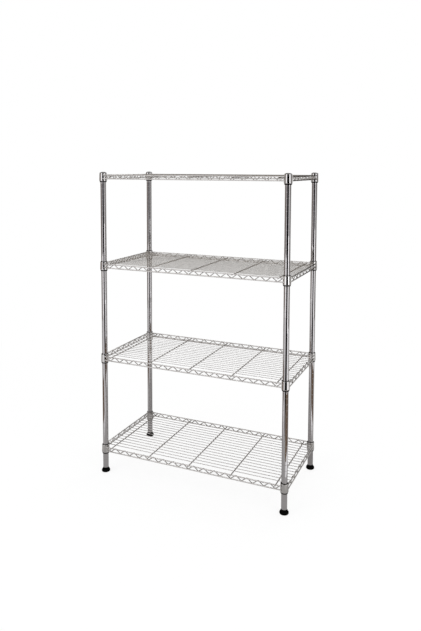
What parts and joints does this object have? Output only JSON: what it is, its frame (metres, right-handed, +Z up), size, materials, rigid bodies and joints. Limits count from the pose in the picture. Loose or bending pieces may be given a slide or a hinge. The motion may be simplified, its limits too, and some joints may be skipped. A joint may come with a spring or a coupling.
{
  "type": "wire shelving unit",
  "caption": "Free-standing chrome wire shelving unit: welded wire shelves on grooved round posts, held by split sleeves in tapered collars, with levelling feet.",
  "frame": {"origin": "on the floor under the middle of the unit", "axes": "+X along the long front, +Y into the depth with the front at -Y, +Z up"},
  "size_m": [0.91, 0.457, 1.4065],
  "materials": {
    "post_chrome": "polished chrome plate on rolled steel tube",
    "shelf_chrome": "chrome plate over welded steel wire",
    "cap_chrome": "chrome-plated domed cap",
    "sleeve_plastic": "moulded black plastic",
    "foot_plastic": "moulded black plastic",
    "zinc_steel": "zinc-plated steel"
  },
  "bodies": {
    "frame": {"post_front_left": "post_chrome", "cap_front_left": "cap_chrome", "post_front_right": "post_chrome", "cap_front_right": "cap_chrome", "post_back_left": "post_chrome", "cap_back_left": "cap_chrome", "post_back_right": "post_chrome", "cap_back_right": "cap_chrome", "sleeve_bottom_front_left_a": "sleeve_plastic", "sleeve_bottom_front_left_b": "sleeve_plastic", "sleeve_bottom_front_right_a": "sleeve_plastic", "sleeve_bottom_front_right_b": "sleeve_plastic", "sleeve_bottom_back_left_a": "sleeve_plastic", "sleeve_bottom_back_left_b": "sleeve_plastic", "sleeve_bottom_back_right_a": "sleeve_plastic", "sleeve_bottom_back_right_b": "sleeve_plastic", "sleeve_lower_front_left_a": "sleeve_plastic", "sleeve_lower_front_left_b": "sleeve_plastic", "sleeve_lower_front_right_a": "sleeve_plastic", "sleeve_lower_front_right_b": "sleeve_plastic", "sleeve_lower_back_left_a": "sleeve_plastic", "sleeve_lower_back_left_b": "sleeve_plastic", "sleeve_lower_back_right_a": "sleeve_plastic", "sleeve_lower_back_right_b": "sleeve_plastic", "sleeve_upper_front_left_a": "sleeve_plastic", "sleeve_upper_front_left_b": "sleeve_plastic", "sleeve_upper_front_right_a": "sleeve_plastic", "sleeve_upper_front_right_b": "sleeve_plastic", "sleeve_upper_back_left_a": "sleeve_plastic", "sleeve_upper_back_left_b": "sleeve_plastic", "sleeve_upper_back_right_a": "sleeve_plastic", "sleeve_upper_back_right_b": "sleeve_plastic", "sleeve_top_front_left_a": "sleeve_plastic", "sleeve_top_front_left_b": "sleeve_plastic", "sleeve_top_front_right_a": "sleeve_plastic", "sleeve_top_front_right_b": "sleeve_plastic", "sleeve_top_back_left_a": "sleeve_plastic", "sleeve_top_back_left_b": "sleeve_plastic", "sleeve_top_back_right_a": "sleeve_plastic", "sleeve_top_back_right_b": "sleeve_plastic"},
    "shelf_bottom": {"shelf_bottom_deck": "shelf_chrome", "shelf_bottom_left_end": "shelf_chrome", "shelf_bottom_right_end": "shelf_chrome"},
    "shelf_lower": {"shelf_lower_deck": "shelf_chrome", "shelf_lower_left_end": "shelf_chrome", "shelf_lower_right_end": "shelf_chrome"},
    "shelf_upper": {"shelf_upper_deck": "shelf_chrome", "shelf_upper_left_end": "shelf_chrome", "shelf_upper_right_end": "shelf_chrome"},
    "shelf_top": {"shelf_top_deck": "shelf_chrome", "shelf_top_left_end": "shelf_chrome", "shelf_top_right_end": "shelf_chrome"},
    "foot_stem_front_left": {"foot_stem_front_left": "zinc_steel"},
    "foot_pad_front_left": {"foot_pad_front_left": "foot_plastic"},
    "foot_stem_front_right": {"foot_stem_front_right": "zinc_steel"},
    "foot_pad_front_right": {"foot_pad_front_right": "foot_plastic"},
    "foot_stem_back_left": {"foot_stem_back_left": "zinc_steel"},
    "foot_pad_back_left": {"foot_pad_back_left": "foot_plastic"},
    "foot_stem_back_right": {"foot_stem_back_right": "zinc_steel"},
    "foot_pad_back_right": {"foot_pad_back_right": "foot_plastic"}
  },
  "joints": [
    {"name": "shelf_bottom_lift", "type": "slide", "parent": "frame", "child": "shelf_bottom", "axis": [0, 0, 1], "range_m": [0, 0.388]},
    {"name": "shelf_lower_lift", "type": "slide", "parent": "frame", "child": "shelf_lower", "axis": [0, 0, 1], "range_m": [0, 0.388]},
    {"name": "shelf_upper_lift", "type": "slide", "parent": "frame", "child": "shelf_upper", "axis": [0, 0, 1], "range_m": [0, 0.362]},
    {"name": "shelf_top_lift", "type": "slide", "parent": "frame", "child": "shelf_top", "axis": [0, 0, 1], "range_m": [0, 0.07]},
    {"name": "foot_extend_front_left", "type": "slide", "parent": "frame", "child": "foot_stem_front_left", "axis": [0, 0, -1], "range_m": [0, 0.02]},
    {"name": "foot_turn_front_left", "type": "hinge", "parent": "foot_stem_front_left", "child": "foot_pad_front_left", "pos_m": [-0.436, -0.2095, 0], "axis": [0, 0, -1], "range_deg": [0, 4680]},
    {"name": "foot_extend_front_right", "type": "slide", "parent": "frame", "child": "foot_stem_front_right", "axis": [0, 0, -1], "range_m": [0, 0.02]},
    {"name": "foot_turn_front_right", "type": "hinge", "parent": "foot_stem_front_right", "child": "foot_pad_front_right", "pos_m": [0.436, -0.2095, 0], "axis": [0, 0, -1], "range_deg": [0, 4680]},
    {"name": "foot_extend_back_left", "type": "slide", "parent": "frame", "child": "foot_stem_back_left", "axis": [0, 0, -1], "range_m": [0, 0.02]},
    {"name": "foot_turn_back_left", "type": "hinge", "parent": "foot_stem_back_left", "child": "foot_pad_back_left", "pos_m": [-0.436, 0.2095, 0], "axis": [0, 0, -1], "range_deg": [0, 4680]},
    {"name": "foot_extend_back_right", "type": "slide", "parent": "frame", "child": "foot_stem_back_right", "axis": [0, 0, -1], "range_m": [0, 0.02]},
    {"name": "foot_turn_back_right", "type": "hinge", "parent": "foot_stem_back_right", "child": "foot_pad_back_right", "pos_m": [0.436, 0.2095, 0], "axis": [0, 0, -1], "range_deg": [0, 4680]}
  ],
  "couplings": [
    {"joint": "foot_extend_front_left", "follows": "foot_turn_front_left", "m_per_rad": 0.00023873},
    {"joint": "foot_extend_front_right", "follows": "foot_turn_front_right", "m_per_rad": 0.00023873},
    {"joint": "foot_extend_back_left", "follows": "foot_turn_back_left", "m_per_rad": 0.00023873},
    {"joint": "foot_extend_back_right", "follows": "foot_turn_back_right", "m_per_rad": 0.00023873}
  ]
}
